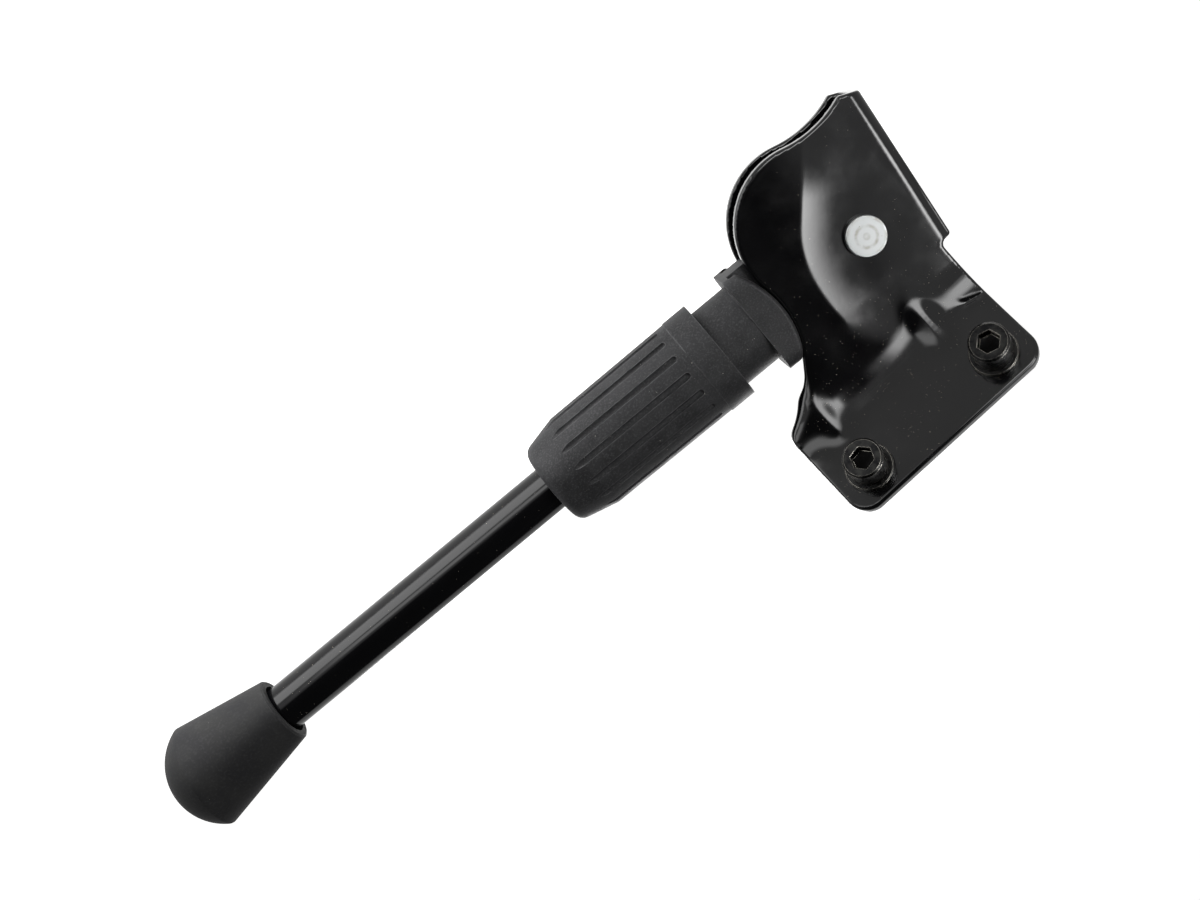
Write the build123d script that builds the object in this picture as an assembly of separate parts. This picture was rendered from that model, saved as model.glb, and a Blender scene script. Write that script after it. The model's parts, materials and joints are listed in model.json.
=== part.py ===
from build123d import *
import os
from math import acos, cos, degrees, radians, sin, sqrt, tan

# Bicycle kickstand, in millimetres, as it sits on the bicycle.
# X points to the rear along the bolt line, Y inboard, Z up.
# The origin is midway between the two bolts, on the flange's inner face.

# Bracket sheet and bolting flange
sheet = 3.0
bolt_spacing = 40.0
bolt_hole = 6.6
flange_half_width = 29.4
flange_top = 8.5
flange_corner = 5.5
bend_drop = 17.5
bend_angle = 36.8
bend_radius = 20.0

# Two ribs pressed across the bend
rib_places = (-14.5, 20.0)
rib_radius = 3.2
rib_length = 18.0
rib_height = 1.8

# Cheeks, spine and pivot
pivot_inset = 12.4
pivot_drop = 26.0
cheek_gap = 9.0
spine_distance = 17.9
spine_top = 14.2
fold_radius = 3.3
relief_radius = 1.6
rear_shoulder = 12.0
rear_horn = 6.5
rear_corner = 3.0
tip_x = -17.0
tip_cut_angle = 27.0
edge_round = 0.6

# Shallow hollow pressed into the front cheek round the pivot
hollow_width = 28.0
hollow_length = 38.0
hollow_depth = 1.0
hollow_turn = 14.0

# Cam edge of both cheeks: a lobe between two seats for the collar
stow_angle = 3.5
swing_angle = 94.7
lobe_x = 6.9
lobe_y = -10.5
lobe_radius = 19.6
stow_seat_centre = 51.3
deploy_seat_centre = 56.2
flank_angle = 34.0
flank_corner = 5.0

# Pivot rivet
rivet_diameter = 8.0
rivet_head_diameter = 10.3
rivet_head_height = 1.9
rivet_tail_diameter = 11.0
rivet_tail_height = 1.8
rivet_edge = 0.35

# M6 bolts and their washers
thread_diameter = 6.0
shank_diameter = 5.4
bolt_length = 16.0
bolt_tip_chamfer = 0.8
head_diameter = 10.0
head_height = 6.0
head_edge = 0.5
socket_width = 5.0
socket_depth = 3.0
socket_point = 1.2
socket_turns = (17.0, 50.0)
washer_diameter = 12.0
washer_bore = 6.4
washer_thickness = 1.6
washer_edge = 0.25
spring_washer_diameter = 9.9
spring_washer_bore = 6.2
spring_washer_thickness = 1.6
spring_washer_split = 0.9
spring_washer_skew = 20.0

# Leg bar, measured along its axis from the pivot
bar_diameter = 12.0
bar_end = 214.0
bar_end_chamfer = 1.0
eye_diameter = 16.0
eye_clearance = 0.2
eye_flat_margin = 0.8
eye_runout = 5.0
pivot_clearance = 0.05

# Cam collar
collar_width = 26.8
collar_depth = 22.6
collar_corner = 4.5
collar_edge = 1.0
collar_roof_radius = 24.5
collar_rest_gap = 2.1
collar_bottom = 33.8
lip_rise = 1.9
tongue_rise = 4.6
tongue_round = 3.0
neck_diameter = 22.0
neck_end = 56.0
slide_clearance = 0.3

# Sleeve
sleeve_top = 44.0
sleeve_bottom = 97.2
sleeve_diameter = 27.3
sleeve_low_diameter = 26.5
sleeve_end_diameter = 21.6
sleeve_taper = 10.5
sleeve_end_round = 3.0
sleeve_band = 7.0
sleeve_band_step = 0.2
sleeve_floor = 9.5
sleeve_bar_clearance = 0.1
flute_count = 16
flute_width = 1.7
flute_depth = 0.8
flute_top = 53.4

# Spring and its seat
seat_thickness = 2.5
seat_diameter = 20.0
seat_bar_clearance = 0.05
spring_wire = 1.8
spring_wire_sides = 8
spring_mean_diameter = 17.4
spring_turns = 6.5
spring_end_gap = 0.1

# Rubber foot
foot_top = 184.0
foot_end = 219.2
foot_top_diameter = 17.6
foot_wide_diameter = 26.6
foot_wide_at = 208.5
foot_ball_radius = 15.2
foot_ball_shift = 1.2
foot_corner = 1.2
foot_mouth_diameter = 13.8
foot_mouth_depth = 4.0
foot_bar_clearance = 0.05
foot_lip = 0.5

os.makedirs("parts", exist_ok=True)

# Places worked out from the sizes above
bend = radians(bend_angle)
outward = Vector(0, -cos(bend), sin(bend))
down_cheek = Vector(0, -sin(bend), -cos(bend))
half_gap = cheek_gap / 2
half_bracket = half_gap + sheet
pivot_x = pivot_inset - flange_half_width
pivot = Vector(pivot_x, -sheet, -bend_drop) + down_cheek * pivot_drop - outward * half_bracket
deploy_angle = stow_angle + swing_angle
bar_radius = bar_diameter / 2
# A length that passes right through the bracket or the collar
far = 2 * bolt_spacing

# Cheek frame: origin on the pivot midway between the cheeks, x along the bolt line, y up the cheek
cheek_frame = Plane(origin=pivot, x_dir=(1, 0, 0), z_dir=outward)
# Leg frame: the same origin, x along the stowed leg
leg_frame = cheek_frame * Rot(0, 0, -stow_angle)


def toward(angle, distance):
    """Point in the cheek frame, the angle in degrees from the bolt line towards the deployed leg."""
    return Vector(distance * cos(radians(angle)), -distance * sin(radians(angle)))


def around(centre, radius, angle):
    """Point on a circle, the angle in degrees from +X, anticlockwise."""
    return centre + Vector(radius * cos(radians(angle)), radius * sin(radians(angle)))


def arc_radius(chord, rise):
    """Radius of the arc over a chord, from the arc's rise above it."""
    return (chord**2 / 4 + rise**2) / (2 * rise)


def along_x(start, end, radius):
    """Round bar along X between two stations."""
    bar = Rot(0, 90, 0) * Cylinder(radius, end - start)
    return Pos((start + end) / 2, 0, 0) * bar


# Cam edge: each seat circle is centred on the leg's axis and is tangent to the lobe circle
lobe = Vector(lobe_x, lobe_y)
stow_seat = toward(stow_angle, stow_seat_centre)
deploy_seat = toward(deploy_angle, deploy_seat_centre)
stow_seat_radius = (stow_seat - lobe).length - lobe_radius
deploy_seat_radius = (deploy_seat - lobe).length - lobe_radius
lobe_meets_stow = lobe + (stow_seat - lobe).normalized() * lobe_radius
lobe_meets_deploy = lobe + (deploy_seat - lobe).normalized() * lobe_radius
lobe_crest = lobe + (lobe_meets_stow + lobe_meets_deploy - lobe * 2).normalized() * lobe_radius
seat_floor = stow_seat_centre - stow_seat_radius
# The flange's side edges, in the cheek frame
sheet_left = -flange_half_width - pivot_x
sheet_right = flange_half_width - pivot_x
lobe_reach = lobe.length + lobe_radius
# The hollow's floor and its radii across and along, and where the rivet's head then rests in it
hollow_floor = half_bracket - hollow_depth
hollow_across = arc_radius(hollow_width, hollow_depth)
hollow_along = arc_radius(hollow_length, hollow_depth)
rivet_rest = hollow_floor + hollow_across - sqrt(hollow_across**2 - rivet_head_diameter**2 / 4)


def stow_seat_at(y):
    """Point of the stowed seat at a height in the cheek frame."""
    return Vector(stow_seat.X - sqrt(stow_seat_radius**2 - (y - stow_seat.Y) ** 2), y)


def front_sheet():
    """Flange, bend and front cheek down to the pivot, as one bent sheet."""
    bend_start = bend_radius * tan(bend / 2) - bend_drop
    hub = Vector(-sheet - bend_radius, bend_start)
    run = Vector(-sin(bend), -cos(bend)) * far
    front = [around(hub, bend_radius, -bend_angle * share) for share in (0, 0.5, 1)]
    back = [around(hub, bend_radius + sheet, -bend_angle * share) for share in (1, 0.5, 0)]
    section = Curve() + [
        Line((0, flange_top), (-sheet, flange_top)),
        Line((-sheet, flange_top), front[0]),
        ThreePointArc(*front),
        Line(front[2], front[2] + run),
        Line(front[2] + run, back[0] + run),
        Line(back[0] + run, back[0]),
        ThreePointArc(*back),
        Line(back[2], (0, flange_top)),
    ]
    bent = extrude(Plane.YZ * make_face(section), flange_half_width, both=True)

    flange = Pos(0, flange_top - far) * Rectangle(2 * flange_half_width, 2 * far)
    flange = fillet(flange.vertices().group_by(Axis.Y)[-1], flange_corner)
    bent &= extrude(Plane.XZ * flange, far, both=True)

    # Cheek outline above the pivot: stowed seat, straight flank and the flange's two side edges
    flank_low = around(stow_seat, stow_seat_radius, 90 + flank_angle)
    flank_rise = (sheet_right - flank_low.X) * tan(radians(flank_angle))
    flank_high = Vector(sheet_right, flank_low.Y + flank_rise)
    seat_low = stow_seat_at(0)
    seat_middle = around(stow_seat, stow_seat_radius, 135 + flank_angle / 2)
    outline = Curve() + [
        Line((sheet_left, far), (sheet_left, 0)),
        Line((sheet_left, 0), seat_low),
        ThreePointArc(seat_low, seat_middle, flank_low),
        Line(flank_low, flank_high),
        Line(flank_high, (sheet_right, far)),
        Line((sheet_right, far), (sheet_left, far)),
    ]
    outline = make_face(outline)
    corner = outline.vertices().sort_by_distance(flank_high)[0]
    outline = fillet(corner, flank_corner)
    return bent & cheek_frame * extrude(outline, far, both=True)


def folded_channel():
    """Both cheeks and the spine fold, cut to the cam edge."""
    depth = far + spine_distance
    outer = Pos(depth / 2 - spine_distance, 0) * Rectangle(depth, 2 * half_bracket)
    outer = fillet(outer.vertices().group_by(Axis.X)[0], fold_radius)
    inner = Pos(depth / 2 - spine_distance + sheet, 0) * Rectangle(depth, cheek_gap)
    inner = fillet(inner.vertices().group_by(Axis.X)[0], fold_radius - sheet)
    channel = extrude(Plane.XZ * (outer - inner), far, both=True)
    channel = Rot(0, 0, 90 - deploy_angle) * channel

    horn = stow_seat_at(rear_horn)
    seat_middle = stow_seat_at((rear_horn + lobe_meets_stow.Y) / 2)
    tip_drop = tip_x - deploy_seat.X
    tip = Vector(tip_x, deploy_seat.Y + sqrt(deploy_seat_radius**2 - tip_drop**2))
    tip_end = Vector(tip_x - spine_distance, tip.Y + spine_distance * tan(radians(tip_cut_angle)))
    seat_crown = around(deploy_seat, deploy_seat_radius, 180 - deploy_angle)
    outline = Curve() + [
        Line((tip_end.X, spine_top), (rear_shoulder, spine_top)),
        Line((rear_shoulder, spine_top), horn),
        ThreePointArc(horn, seat_middle, lobe_meets_stow),
        ThreePointArc(lobe_meets_stow, lobe_crest, lobe_meets_deploy),
        ThreePointArc(lobe_meets_deploy, seat_crown, tip),
        Line(tip, tip_end),
        Line(tip_end, (tip_end.X, spine_top)),
    ]
    outline = make_face(outline)
    outline = fillet(
        outline.vertices().sort_by_distance(Vector(rear_shoulder, spine_top))[:1]
        + outline.vertices().sort_by_distance(horn)[:1],
        rear_corner,
    )
    cheeks = channel & extrude(outline, far, both=True)

    # Hollow corner where the front cheek's side edge runs into the top of the spine
    hollow = Vector(sheet_left - relief_radius, spine_top + relief_radius)
    low = hollow - Vector(0, relief_radius)
    high = hollow + Vector(relief_radius, 0)
    inner_high = high + Vector(relief_radius, 0)
    inner_low = Vector(inner_high.X, spine_top - relief_radius)
    outer_low = Vector(low.X, inner_low.Y)
    corner = Curve() + [
        ThreePointArc(low, around(hollow, relief_radius, -45), high),
        Polyline(high, inner_high, inner_low, outer_low, low),
    ]
    corner = Pos(0, 0, half_gap) * extrude(make_face(corner), sheet)
    return cheek_frame * (cheeks + (channel & corner))


def rib(place):
    """Round-ended rib lying across the bend, along the chord of the bend."""
    turn = bend / 2
    bend_start = bend_radius * tan(turn) - bend_drop
    reach = bend_radius - rib_height + rib_radius
    centre = Vector(place, -sheet - bend_radius + reach * cos(turn), bend_start - reach * sin(turn))
    half = rib_length / 2 - rib_radius
    body = Cylinder(rib_radius, 2 * half) + Pos(0, 0, half) * Sphere(rib_radius)
    body += Pos(0, 0, -half) * Sphere(rib_radius)
    inboard = Vector(0, cos(turn), -sin(turn))
    frame = Plane(origin=centre, x_dir=(1, 0, 0), z_dir=(0, sin(turn), cos(turn)))
    return frame * body, inboard


def pivot_hollow():
    """Slice of a large torus that cuts the hollow, twice as high as the hollow is deep."""
    height = 2 * hollow_depth
    low = -hollow_along
    half_chord = sqrt(hollow_across**2 - (hollow_across - height) ** 2)
    half_spread = degrees(acos(1 - height / hollow_along))
    segment = Curve() + [
        ThreePointArc((-half_chord, low + height), (0, low), (half_chord, low + height)),
        Line((half_chord, low + height), (-half_chord, low + height)),
    ]
    body = revolve(Plane.XZ * make_face(segment), Axis.X, 2 * half_spread)
    body = Pos(0, 0, hollow_floor + hollow_along) * Rot(-half_spread, 0, 0) * body
    return cheek_frame * Rot(0, 0, -hollow_turn) * body


def outer_outline(body):
    """Sharp edges round the outer skin of the folded sheet."""
    faces_beside = {}
    for face in body.faces():
        for edge in face.edges():
            faces_beside.setdefault(edge, []).append(face)
    sharp = ShapeList()
    for edge, faces in faces_beside.items():
        middle = edge @ 0.5
        if 70 < faces[0].normal_at(middle).get_angle(faces[-1].normal_at(middle)) < 110:
            sharp.append(edge)
    loops = edges_to_wires(sharp)
    return loops.sort_by_distance(Vector(0, -sheet, flange_top))[0].edges()


def bracket():
    body = front_sheet() + folded_channel()
    body = body.fillet(edge_round, outer_outline(body))
    body -= pivot_hollow()
    for place in rib_places:
        raised, inboard = rib(place)
        body += raised
        body -= Pos(inboard * sheet) * raised
    for side in (-1, 1):
        hole = Cylinder(bolt_hole / 2, 4 * sheet)
        body -= Plane.XZ * Pos(side * bolt_spacing / 2, 0, 0) * hole
    hole = Cylinder(rivet_diameter / 2 + pivot_clearance, 4 * half_bracket)
    body -= cheek_frame * hole
    return body


def pivot_rivet():
    shank = Cylinder(rivet_diameter / 2, half_bracket + rivet_rest)
    shank = Pos(0, 0, (rivet_rest - half_bracket) / 2) * shank
    head = Cylinder(rivet_head_diameter / 2, rivet_head_height)
    head = fillet(head.edges().group_by(Axis.Z)[-1], rivet_edge)
    tail = Cylinder(rivet_tail_diameter / 2, rivet_tail_height)
    tail = fillet(tail.edges().group_by(Axis.Z)[0], rivet_tail_height / 2)
    shank += Pos(0, 0, rivet_rest + rivet_head_height / 2) * head
    shank += Pos(0, 0, -half_bracket - rivet_tail_height / 2) * tail
    return cheek_frame * shank


# Bolt frame: z along the bolt towards its tip, zero on the flange's inner face
bolt_frames = [
    Plane(origin=(side * bolt_spacing / 2, 0, 0), x_dir=(1, 0, 0), z_dir=(0, 1, 0))
    for side in (-1, 1)
]
washer_top = -sheet - washer_thickness
head_seat = washer_top - spring_washer_thickness


def socket_bolt(turn):
    head = Cylinder(head_diameter / 2, head_height)
    head = chamfer(head.edges().group_by(Axis.Z)[0], head_edge)
    head = Pos(0, 0, head_seat - head_height / 2) * head
    head_top = head_seat - head_height
    socket = extrude(RegularPolygon(socket_width / 2, 6, major_radius=False), socket_depth)
    point = Cone(socket_width / 2, 0, socket_point)
    socket += Pos(0, 0, socket_depth + socket_point / 2) * point
    head -= Pos(0, 0, head_top) * Rot(0, 0, turn) * socket
    tip = head_seat + bolt_length
    shank = Pos(0, 0, head_seat / 2) * Cylinder(shank_diameter / 2, -head_seat)
    thread = Cylinder(thread_diameter / 2, tip)
    thread = chamfer(thread.edges().group_by(Axis.Z)[-1], bolt_tip_chamfer)
    return head + shank + Pos(0, 0, tip / 2) * thread


def mounting_bolts():
    return [frame * socket_bolt(turn) for frame, turn in zip(bolt_frames, socket_turns)]


def flat_washers():
    washer = Cylinder(washer_diameter / 2, washer_thickness)
    washer = chamfer(washer.edges().group_by(Axis.Z)[0], washer_edge)
    washer -= Cylinder(washer_bore / 2, 2 * washer_thickness)
    middle = -sheet - washer_thickness / 2
    return [frame * (Pos(0, 0, middle) * washer) for frame in bolt_frames]


def spring_washers():
    washer = Cylinder(spring_washer_diameter / 2, spring_washer_thickness)
    washer -= Cylinder(spring_washer_bore / 2, 2 * spring_washer_thickness)
    split = Box(spring_washer_split, spring_washer_diameter, 3 * spring_washer_thickness)
    split = Rot(0, spring_washer_skew, 0) * Pos(0, spring_washer_diameter / 2, 0) * split
    middle = washer_top - spring_washer_thickness / 2
    return [frame * (Pos(0, 0, middle) * (washer - split)) for frame in bolt_frames]


def leg_bar():
    body = along_x(0, bar_end, bar_radius)
    body = chamfer(body.edges().group_by(Axis.X)[-1], bar_end_chamfer)
    half_eye = half_gap - eye_clearance
    flat_end = lobe_reach + eye_flat_margin
    body += Cylinder(eye_diameter / 2, 2 * half_eye)
    flat = make_face(
        Polyline(
            (-eye_diameter, half_eye),
            (flat_end, half_eye),
            (flat_end + eye_runout, bar_radius),
            (flat_end + eye_runout, bar_diameter),
            (-eye_diameter, bar_diameter),
            close=True,
        )
    )
    flat = extrude(Plane.XZ * flat, bar_diameter, both=True)
    body -= flat
    body -= mirror(flat, Plane.XY)
    body -= Cylinder(rivet_diameter / 2 + pivot_clearance, 4 * half_gap)
    return leg_frame * body


def cam_collar():
    apex = seat_floor + collar_rest_gap
    lip_top = apex - lip_rise
    wall = RectangleRounded(collar_width, collar_depth, collar_corner)
    wall = Pos(lip_top, 0, 0) * extrude(Plane.YZ * wall, collar_bottom - lip_top)
    roof = Pos(apex + collar_roof_radius, 0) * Circle(collar_roof_radius)
    lip_roof = Pos(-lip_rise, 0) * roof
    flange = wall & extrude(lip_roof, far, both=True)
    rims = flange.edges().filter_by(Axis.X, reverse=True) - flange.edges().group_by(Axis.X)[-1]
    flange = fillet(rims, collar_edge)
    # A lip stands outside each cheek, and the roof between the lips meets the cam edges
    flange -= extrude(lip_roof - roof, half_bracket + slide_clearance, both=True)
    tongue_top = apex - tongue_rise
    tongue = Rectangle(collar_bottom - tongue_top, collar_width)
    tongue = fillet(tongue.vertices().group_by(Axis.X)[0], tongue_round)
    tongue = Pos((collar_bottom + tongue_top) / 2, 0) * tongue
    flange += extrude(tongue, half_gap - slide_clearance, both=True)
    flange += along_x(collar_bottom, neck_end, neck_diameter / 2)
    flange -= along_x(0, 2 * neck_end, bar_radius + slide_clearance)
    return leg_frame * flange


def fluted_sleeve():
    top, low, end = sleeve_diameter / 2, sleeve_low_diameter / 2, sleeve_end_diameter / 2
    body = top - sleeve_band_step
    taper_start = sleeve_bottom - sleeve_taper
    bore = neck_diameter / 2 + slide_clearance
    bar_hole = bar_radius + sleeve_bar_clearance
    section = Polyline(
        (sleeve_top, bore),
        (sleeve_top, top),
        (sleeve_top + sleeve_band, top),
        (sleeve_top + sleeve_band, body),
        (taper_start, low),
        (sleeve_bottom, end),
        (sleeve_bottom, bar_hole),
        (sleeve_bottom - sleeve_floor, bar_hole),
        (sleeve_bottom - sleeve_floor, bore),
        close=True,
    )
    section = make_face(section)
    rounded = [
        section.vertices().sort_by_distance(Vector(sleeve_bottom, end))[0],
        section.vertices().sort_by_distance(Vector(taper_start, low))[0],
    ]
    section = fillet(rounded, sleeve_end_round)
    shell = revolve(section, Axis.X)
    flute_radius = flute_width / 2
    centre = body - flute_depth + flute_radius
    flute = along_x(flute_top + flute_radius, sleeve_bottom + sleeve_taper, flute_radius)
    flute += Pos(flute_top + flute_radius, 0, 0) * Sphere(flute_radius)
    for step in range(flute_count):
        shell -= Rot((step + 0.5) * 360 / flute_count, 0, 0) * Pos(0, 0, centre) * flute
    return leg_frame * shell


seat_top = sleeve_bottom - sleeve_floor - seat_thickness


def spring_seat():
    seat = along_x(seat_top, seat_top + seat_thickness, seat_diameter / 2)
    return leg_frame * (seat - along_x(0, bar_end, bar_radius + seat_bar_clearance))


def compression_spring():
    inset = spring_end_gap + spring_wire / 2
    height = seat_top - neck_end - 2 * inset
    path = Helix(height / spring_turns, height, spring_mean_diameter / 2)
    # The round wire is drawn with flat sides, to keep the coil light
    wire = Plane(origin=path @ 0, z_dir=path % 0) * RegularPolygon(spring_wire / 2, spring_wire_sides)
    coil = sweep(wire, path=path, is_frenet=True)
    return leg_frame * (Pos(neck_end + inset, 0, 0) * Rot(0, 90, 0) * coil)


def rubber_foot():
    top, wide, mouth = foot_top_diameter / 2, foot_wide_diameter / 2, foot_mouth_diameter / 2
    bore = bar_radius + foot_bar_clearance
    mouth_floor = foot_top + foot_mouth_depth
    lip_end = foot_top + foot_lip
    cone_end = top + (wide - top) * (foot_end - lip_end) / (foot_wide_at - lip_end)
    section = Polyline(
        (mouth_floor, mouth),
        (foot_top, mouth),
        (foot_top, top - foot_lip),
        (lip_end, top),
        (foot_end, cone_end),
        (foot_end, 0),
        (bar_end, 0),
        (bar_end, bore),
        (mouth_floor, bore),
        close=True,
    )
    foot = revolve(make_face(section), Axis.X)

    # The cone ends in part of a ball whose centre lies off the leg's axis, so the sole is tilted
    ball = foot_ball_radius
    round_end = Curve() + [
        Polyline((ball, 0), (-foot_end, 0), (-foot_end, ball), (0, ball)),
        ThreePointArc((0, ball), around(Vector(0, 0), ball, 45), (ball, 0)),
    ]
    foot &= Pos(foot_end - ball, foot_ball_shift, 0) * revolve(make_face(round_end), Axis.X)
    corner = foot.edges().filter_by(GeomType.CIRCLE, reverse=True).sort_by(SortBy.LENGTH)[-1]
    return leg_frame * fillet(corner, foot_corner)


nodes = {
    "bracket": bracket(),
    "pivot_rivet": pivot_rivet(),
    "mounting_bolts": mounting_bolts(),
    "spring_washers": spring_washers(),
    "flat_washers": flat_washers(),
    "leg_bar": leg_bar(),
    "cam_collar": cam_collar(),
    "fluted_sleeve": fluted_sleeve(),
    "spring_seat": spring_seat(),
    "compression_spring": compression_spring(),
    "rubber_foot": rubber_foot(),
}
for name, shape in nodes.items():
    solids = shape if isinstance(shape, list) else [shape]
    export_step(Compound(children=[s for item in solids for s in item.solids()]), f"parts/{name}.step")
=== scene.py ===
import json
import math

import bmesh
import bpy
import numpy as np
from mathutils import Matrix, Vector


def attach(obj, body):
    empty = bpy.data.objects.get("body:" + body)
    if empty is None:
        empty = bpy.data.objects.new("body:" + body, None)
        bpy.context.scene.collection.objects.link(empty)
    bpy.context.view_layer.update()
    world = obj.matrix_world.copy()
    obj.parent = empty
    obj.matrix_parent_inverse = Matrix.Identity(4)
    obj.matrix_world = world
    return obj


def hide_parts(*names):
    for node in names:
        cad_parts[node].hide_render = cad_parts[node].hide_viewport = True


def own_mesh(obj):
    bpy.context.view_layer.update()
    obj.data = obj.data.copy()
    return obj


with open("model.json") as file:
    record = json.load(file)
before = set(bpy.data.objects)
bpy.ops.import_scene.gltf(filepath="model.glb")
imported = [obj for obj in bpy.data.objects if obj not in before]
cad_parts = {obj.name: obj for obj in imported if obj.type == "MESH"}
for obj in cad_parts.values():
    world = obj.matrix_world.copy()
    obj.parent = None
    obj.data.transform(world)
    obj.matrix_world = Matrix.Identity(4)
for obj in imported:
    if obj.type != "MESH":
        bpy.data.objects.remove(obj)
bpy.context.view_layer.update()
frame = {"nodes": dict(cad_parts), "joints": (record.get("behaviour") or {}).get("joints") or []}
cadNodes = frame["nodes"]
joints = {joint["name"]: joint for joint in frame["joints"]}
scene = bpy.context.scene
print("frame loaded:", len(cadNodes), "nodes")

mm = 0.001

# where the leg turns and which way it points when stowed, from the joints
pivot = Vector(joints["leg_swing"]["pos_m"])
legAlong = Vector(joints["collar_slide"]["axis"]).normalized()
cheekOut = -Vector(joints["leg_swing"]["axis"]).normalized()
legFrame = Matrix((legAlong, cheekOut.cross(legAlong), cheekOut)).transposed().to_4x4()
legFrame.translation = pivot
cheekUp = cheekOut.cross(Vector((1, 0, 0)))
cheekFrame = Matrix((Vector((1, 0, 0)), cheekUp, cheekOut)).transposed().to_4x4()
cheekFrame.translation = pivot


def toLinear(hexColour):
    parts = [int(hexColour[i:i + 2], 16) / 255 for i in (1, 3, 5)]
    return [p / 12.92 if p <= 0.04045 else ((p + 0.055) / 1.055) ** 2.4 for p in parts] + [1.0]


# adds one node: settings are its properties, inputs its socket values, links what feeds its sockets
def addNode(tree, kind, settings=None, inputs=None, links=None):
    node = tree.nodes.new(kind)
    for name, value in (settings or {}).items():
        setattr(node, name, value)
    for name, value in (inputs or {}).items():
        node.inputs[name].default_value = value
    for name, source in (links or {}).items():
        tree.links.new(source, node.inputs[name])
    return node


# an empty material with its shader and with coordinates in millimetres, in the frame given
def startMaterial(name, shaderInputs, localFrame=None):
    material = bpy.data.materials.new(name)
    material.use_nodes = True
    tree = material.node_tree
    tree.nodes.clear()
    shader = addNode(tree, "ShaderNodeBsdfPrincipled", inputs=shaderInputs)
    addNode(tree, "ShaderNodeOutputMaterial", links={"Surface": shader.outputs["BSDF"]})
    coords = addNode(tree, "ShaderNodeTexCoord").outputs["Object"]
    inverse = (localFrame or Matrix.Identity(4)).inverted()
    place = addNode(tree, "ShaderNodeMapping", inputs={
        "Location": inverse.translation / mm,
        "Rotation": inverse.to_euler(),
        "Scale": (1 / mm, 1 / mm, 1 / mm),
    }, links={"Vector": coords})
    return material, tree, shader, place.outputs["Vector"]


# camera at the photograph's viewing angle
cameraPlan = {
    "place": (0.03180, -0.43708, 0.15119),
    "right": (-0.72940, 0.33674, 0.59546),
    "up": (-0.68034, -0.26617, -0.68285),
    "back": (-0.07145, -0.90319, 0.42324),
    "lens": 56.96,
    "sensor": 36.0,
    "clip": 0.01,
}


def addCamera(plan):
    data = bpy.data.cameras.new("photo_camera")
    data.sensor_fit = "HORIZONTAL"
    data.sensor_width = plan["sensor"]
    data.lens = plan["lens"]
    data.clip_start = plan["clip"]
    camera = bpy.data.objects.new("photo_camera", data)
    axes = [Vector(plan[name]).normalized() for name in ("right", "up", "back")]
    camera.matrix_world = Matrix.Translation(plan["place"]) @ Matrix(axes).transposed().to_4x4()
    scene.collection.objects.link(camera)
    scene.camera = camera
    return axes


viewRight, viewUp, viewBack = addCamera(cameraPlan)
print("camera placed")

# pale floor at the height where the deployed foot would stand
floorPlan = {
    "height": -0.236,
    "half": 6.0,
    "colour": "#f2f2f0",
    "seenGlow": 0.74,    # tops the paper up to white where the camera or a mirror sees it
}
worldPlan = {
    "seen": "#ffffff",
    "seenStrength": 1.0,
    "fill": "#ffffff",
    "fillStrength": 0.30,
}


# 1 where the camera looks straight, in a mirror or through glass, and 0 for plain light
def seenRays(tree):
    path = addNode(tree, "ShaderNodeLightPath")
    direct = addNode(tree, "ShaderNodeMath", {"operation": "MAXIMUM"}, links={
        0: path.outputs["Is Camera Ray"], 1: path.outputs["Is Glossy Ray"]})
    seen = addNode(tree, "ShaderNodeMath", {"operation": "MAXIMUM"}, links={
        0: direct.outputs["Value"], 1: path.outputs["Is Transmission Ray"]})
    return seen.outputs["Value"]


def addWorld(plan):
    world = bpy.data.worlds.new("white_studio")
    scene.world = world
    world.use_nodes = True
    tree = world.node_tree
    tree.nodes.clear()
    fill = addNode(tree, "ShaderNodeBackground", inputs={
        "Color": toLinear(plan["fill"]), "Strength": plan["fillStrength"]})
    backdrop = addNode(tree, "ShaderNodeBackground", inputs={
        "Color": toLinear(plan["seen"]), "Strength": plan["seenStrength"]})
    mix = addNode(tree, "ShaderNodeMixShader", links={
        0: seenRays(tree), 1: fill.outputs[0], 2: backdrop.outputs[0]})
    addNode(tree, "ShaderNodeOutputWorld", links={"Surface": mix.outputs[0]})


# a flat sheet of studio gear: its corners in metres, with the shader that its material ends in
def addSheet(name, corners, materialName, makeShader):
    mesh = bpy.data.meshes.new(name)
    mesh.from_pydata(corners, [], [(0, 1, 2, 3)])
    layer = mesh.uv_layers.new(name="across_and_up")
    layer.data.foreach_set("uv", (0, 0, 1, 0, 1, 1, 0, 1))
    sheet = bpy.data.objects.new(name, mesh)
    scene.collection.objects.link(sheet)
    material = bpy.data.materials.new(materialName)
    material.use_nodes = True
    tree = material.node_tree
    tree.nodes.clear()
    addNode(tree, "ShaderNodeOutputMaterial", links={"Surface": makeShader(tree)})
    mesh.materials.append(material)
    return sheet


def floorPaper(tree):
    paper = addNode(tree, "ShaderNodeBsdfDiffuse", inputs={"Color": toLinear(floorPlan["colour"])})
    glow = addNode(tree, "ShaderNodeEmission", inputs={"Strength": floorPlan["seenGlow"]})
    dark = addNode(tree, "ShaderNodeEmission", inputs={"Strength": 0.0})
    lift = addNode(tree, "ShaderNodeMixShader", links={
        0: seenRays(tree), 1: dark.outputs[0], 2: glow.outputs[0]})
    lifted = addNode(tree, "ShaderNodeAddShader", links={0: paper.outputs[0], 1: lift.outputs[0]})
    return lifted.outputs[0]


addWorld(worldPlan)
half, floorHeight = floorPlan["half"], floorPlan["height"]
floorCorners = [(-half, -half, floorHeight), (half, -half, floorHeight),
                (half, half, floorHeight), (-half, half, floorHeight)]
addSheet("studio_floor", floorCorners, "studio_paper", floorPaper)
scene.view_settings.view_transform = "Standard"

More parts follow.
